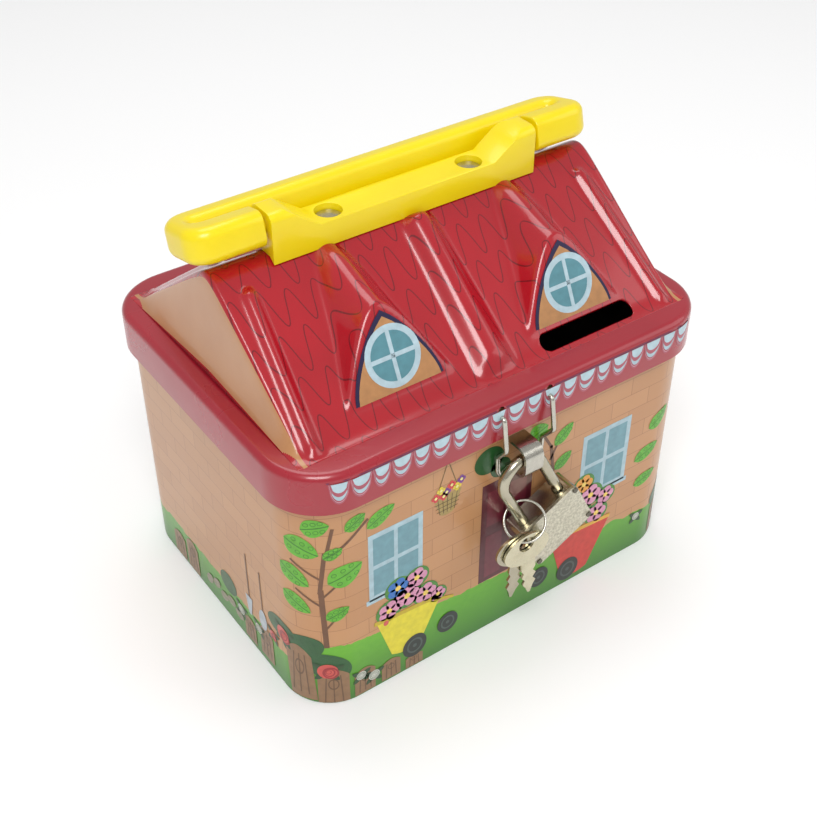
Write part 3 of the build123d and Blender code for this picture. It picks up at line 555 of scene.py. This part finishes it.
skirt = rounded_tube("lid_skirt", LID_X, LID_Y, SKIRT_FOOT, SHELF, 16.0)
shape = bmesh.new()
shape.from_mesh(skirt.data)
top_face = max(shape.faces, key=lambda f: f.calc_center_median().z)
rim = list(top_face.edges)
bmesh.ops.bevel(shape, geom=rim, offset=2.0 * MM, segments=6, affect="EDGES", profile=0.5)
shape.faces.ensure_lookup_table()
top_face = max(shape.faces, key=lambda f: f.calc_area() if f.normal.z > 0.9 else 0)
bmesh.ops.inset_individual(shape, faces=[top_face], thickness=5.4 * MM)
bottom_face = min(shape.faces, key=lambda f: f.calc_center_median().z)
bmesh.ops.delete(shape, geom=[top_face, bottom_face], context="FACES")
shape.to_mesh(skirt.data)
shape.free()
skirt.data.materials.append(skirt_red)
skirt.data.materials.append(bare_inside)
apply_modifier(skirt, "SOLIDIFY", thickness=0.4 * MM, offset=-1, material_offset=1)
for x in (-7.5, 7.5):
    start_clean()
    bpy.ops.mesh.primitive_cylinder_add(vertices=24, radius=0.95 * MM, depth=8 * MM,
                                        rotation=(math.pi / 2, 0, 0))
    cutter = bpy.context.object
    bpy.ops.object.transform_apply(location=False, rotation=True, scale=False)
    for vert in cutter.data.vertices:
        vert.co += Vector((x * MM, -LID_Y * MM, 77.1 * MM + math.copysign(1.15 * MM, vert.co.z)))
    apply_modifier(skirt, "BOOLEAN", operation="DIFFERENCE", object=cutter, solver="EXACT")
    bpy.data.objects.remove(cutter)
for face in skirt.data.polygons:
    face.use_smooth = True
bpy.context.view_layer.objects.active = skirt
skirt.select_set(True)
bpy.ops.object.shade_smooth_by_angle(angle=math.radians(35))

for piece in (roof, skirt):
    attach(piece, "lid")
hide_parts("lid_shell")

# ---- attic windows ------------------------------------------------------------------------------
# Each leaning dormer face is printed tan with a navy edge, a round pale window and teal panes.
FACE_TALL = math.hypot(FACE_RUN, FACE_RISE)
FORMS["ogive"] = lambda p, q: (p * (1 - ((q + 1) / 2) ** 1.5) ** 0.86, q)
for number, (side, turned) in enumerate(((-1, 1), (1, 1), (-1, -1), (1, -1))):
    def on_face(a, b, out, side=side, turned=turned):
        """A point of a dormer's face: mm across, mm up the face, and off it."""
        share = b / FACE_TALL
        y = FACE_FOOT.y + FACE_RUN * share - (out + 0.12) * FACE_RISE / FACE_TALL
        z = FACE_FOOT.z + FACE_RISE * share + (out + 0.12) * FACE_RUN / FACE_TALL
        return Vector((side * DORMER_X + a * turned, y * turned, z)) * MM

    tag = "_" + "abcd"[number]
    for name, colour, layer, shapes in (
            ("attic_edge", (26, 14, 66), 0, [("ogive", 0, 9.6, 12.6, 9.9, 0)]),
            ("attic_field", (194, 140, 88), 1, [("ogive", 0.15, 8.75, 11.7, 9.15, 0)]),
            ("attic_frame", (190, 216, 226), 2, [("disc", 0.3, 8.1, 7.7, 7.7, 0)]),
            ("attic_panes", (92, 150, 162), 3, [("disc", 0.3, 8.1, 6.1, 6.1, 0)]),
            ("attic_bars", (190, 216, 226), 4,
             [("bar", 0.3, 8.1, 6.3, 0.55, 0), ("bar", 0.3, 8.1, 0.55, 6.3, 0)])):
        print_ink(name + tag, colour, layer, on_face, shapes, "lid")

# ---- valance ------------------------------------------------------------------------------------
# A printed frill along the front of the skirt: pale blue half-moons, wide and narrow by turns,
# each over a thin sickle, outlined in pink under a purple line.
SKIRT_ROUND = 16.0


def on_skirt(run, up, out):
    """A point of the skirt's front, mm along it and up it."""
    flat = LID_X - SKIRT_ROUND
    far = abs(run)
    turn = max(0.0, far - flat) / SKIRT_ROUND
    reach = SKIRT_ROUND + out
    x = min(far, flat) + reach * math.sin(turn)
    return Vector((math.copysign(x, run), SKIRT_ROUND - LID_Y - reach * math.cos(turn), up)) * MM


FRILL = [(-53.4 + 5.62 * i, 2.62 if i % 2 else 2.2) for i in range(20)]
FRILL_TOP = 78.2
LINE_RUNS = ((-32.7, 23.7), (0, 6.0), (32.7, 23.7))      # it stops at the hasp's two slots
print_ink("frill_line", (116, 26, 78), 1, on_skirt,
          [("bar", x, FRILL_TOP + 0.35, w, 0.2, 0) for x, w in LINE_RUNS], "lid")
for name, colour, layer, drop, wider in (
        ("frill_backing", (176, 72, 90), 0, 3.2, 0.5), ("frill_outline", (206, 148, 160), 1, 2.95, 0.25),
        ("frill_gap", (172, 62, 80), 2, 2.8, 0.12), ("frill_hem", (180, 206, 216), 3, 2.6, 0.0),
        ("frill_shade", (178, 78, 96), 4, 2.0, 0.06), ("frill_moons", (188, 214, 224), 5, 1.4, -0.2)):
    print_ink(name, colour, layer, on_skirt, [("moon", x, FRILL_TOP, w + wider, drop, 0) for x, w in FRILL],
              "lid")

# ---- carrying handle ----------------------------------------------------------------------------
# Two glossy yellow mouldings: a saddle riveted to the ridge and the bail that snaps into its ears.
yellow, tree, surface = shader("yellow moulded plastic", rough=0.3, coat=0.15)
place = wire(tree, "TexCoord").outputs["Object"]
flow = wire(tree, "TexNoise", {"Vector": place, "Scale": 60.0, "Detail": 3.0}).outputs["Fac"]
tree.links.new(mixed(tree, flow, ink(244, 222, 6), ink(232, 204, 2)), surface.inputs["Base Color"])
surface.inputs["Subsurface Weight"].default_value = 0.05
skin = wire(tree, "TexNoise", {"Vector": place, "Scale": 900.0, "Detail": 2.0}).outputs["Fac"]
relief = wire(tree, "Bump", {"Height": skin, "Strength": 0.12, "Distance": 0.0001})
tree.links.new(relief.outputs[0], surface.inputs["Normal"])


def soften(node_name, name, material, body, radius):
    """A copy of a CAD node with its sharp edges eased, which stands for the node."""
    piece = bpy.data.objects.new(name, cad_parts[node_name].data.copy())
    bpy.context.scene.collection.objects.link(piece)
    start_clean()
    piece.select_set(True)
    bpy.context.view_layer.objects.active = piece
    shape = bmesh.new()
    shape.from_mesh(piece.data)
    bmesh.ops.remove_doubles(shape, verts=shape.verts, dist=0.002 * MM)
    bmesh.ops.dissolve_limit(shape, angle_limit=math.radians(1), verts=shape.verts, edges=shape.edges)
    shape.to_mesh(piece.data)
    shape.free()
    apply_modifier(piece, "BEVEL", width=radius * MM, segments=3, limit_method="ANGLE",
                   angle_limit=math.radians(35), use_clamp_overlap=True)
    apply_modifier(piece, "TRIANGULATE")
    for face in piece.data.polygons:
        face.use_smooth = True
    bpy.ops.object.shade_smooth_by_angle(angle=math.radians(40))
    piece.data.materials.clear()
    piece.data.materials.append(material)
    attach(piece, body)
    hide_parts(node_name)
    return piece


soften("handle_bracket", "handle_saddle", yellow, "lid", 0.5)
soften("handle_bail", "carrying_bail", yellow, "handle", 0.4)

# ---- padlock and keys ---------------------------------------------------------------------------
# A nickel-plated pressed steel lock, sprung open, and its two stamped keys on a wire ring.
nickel = finish("bright nickel", ink(196, 190, 170), ink(158, 152, 132),
                rough=0.2, metal=1.0, grain=260, bump=0.03)
cast, tree, surface = shader("grained nickel face", rough=0.34, metal=1.0)
place = wire(tree, "TexCoord").outputs["Object"]
pits = wire(tree, "TexNoise", {"Vector": place, "Scale": 1500.0, "Detail": 4.0}).outputs["Fac"]
sparkle = sums(tree, "MULTIPLY", sums(tree, "SUBTRACT", pits, 0.3), 2.2)
tree.links.new(mixed(tree, sparkle, ink(172, 168, 150), ink(222, 218, 200)), surface.inputs["Base Color"])
relief = wire(tree, "Bump", {"Height": pits, "Strength": 0.6, "Distance": 0.0002})
tree.links.new(relief.outputs[0], surface.inputs["Normal"])
brass = finish("machined brass", ink(206, 172, 98), ink(172, 138, 70),
               rough=0.3, metal=1.0, grain=900, bump=0.02)
dress(nickel, "shackle", "lock_core", "key_2", "lock_back_plate")
riveted = finish("dull rivet steel", ink(128, 124, 112), ink(92, 88, 78),
                 rough=0.42, metal=1.0, grain=1400, bump=0.06)
dress(riveted, "lock_rivets")
dress(cast, "lock_front_plate")
dress(brass, "lock_plug", "latch_bolt")
key_face = finish("stamped key nickel", ink(222, 216, 190), ink(186, 180, 152),
                  rough=0.26, metal=1.0, grain=300, bump=0.03)
dress(key_face, "key_1")

# ---- studio -------------------------------------------------------------------------------------
# A pale floor, one large soft light from the upper left, a weaker fill and an even pale sky.
start_clean()
bpy.ops.mesh.primitive_plane_add(size=6, location=(0, 0, -0.0002))
floor = bpy.context.object
floor.name = "studio_floor"
floor_paint, tree, surface = shader("pale floor", rough=0.9)
surface.inputs["Base Color"].default_value = (0.96, 0.96, 0.96, 1)
floor.data.materials.append(floor_paint)
world = bpy.data.worlds.new("studio sky")
bpy.context.scene.world = world
world.use_nodes = True
world.node_tree.nodes["Background"].inputs["Color"].default_value = (1, 1, 1, 1)
world.node_tree.nodes["Background"].inputs["Strength"].default_value = 0.52
for name, place, size, power in (("key_light", (-0.35, -0.45, 0.75), 0.4, 4.4),
                                 ("fill_light", (0.7, -0.5, 0.5), 0.6, 1.4),
                                 ("top_light", (0.1, 0.3, 0.9), 0.5, 2.2)):
    lamp = bpy.data.lights.new(name, "AREA")
    lamp.size = size
    lamp.energy = power
    light = bpy.data.objects.new(name, lamp)
    light.location = place
    light.rotation_euler = (Vector((0, 0, 0.05)) - Vector(place)).to_track_quat("-Z", "Y").to_euler()
    bpy.context.scene.collection.objects.link(light)

lens = bpy.data.cameras.new("camera")
lens.lens = 57.06
lens.sensor_width = 36
camera = bpy.data.objects.new("camera", lens)
bpy.context.scene.collection.objects.link(camera)
camera.matrix_world = (Matrix.Translation(Vector((-165.2, -233.9, 271.9)) * MM)
                       @ Matrix.Rotation(math.radians(-35.31), 4, "Z")
                       @ Matrix.Rotation(math.radians(90 - 38.66), 4, "X"))
bpy.context.scene.camera = camera
bpy.context.scene.view_settings.view_transform = "Standard"
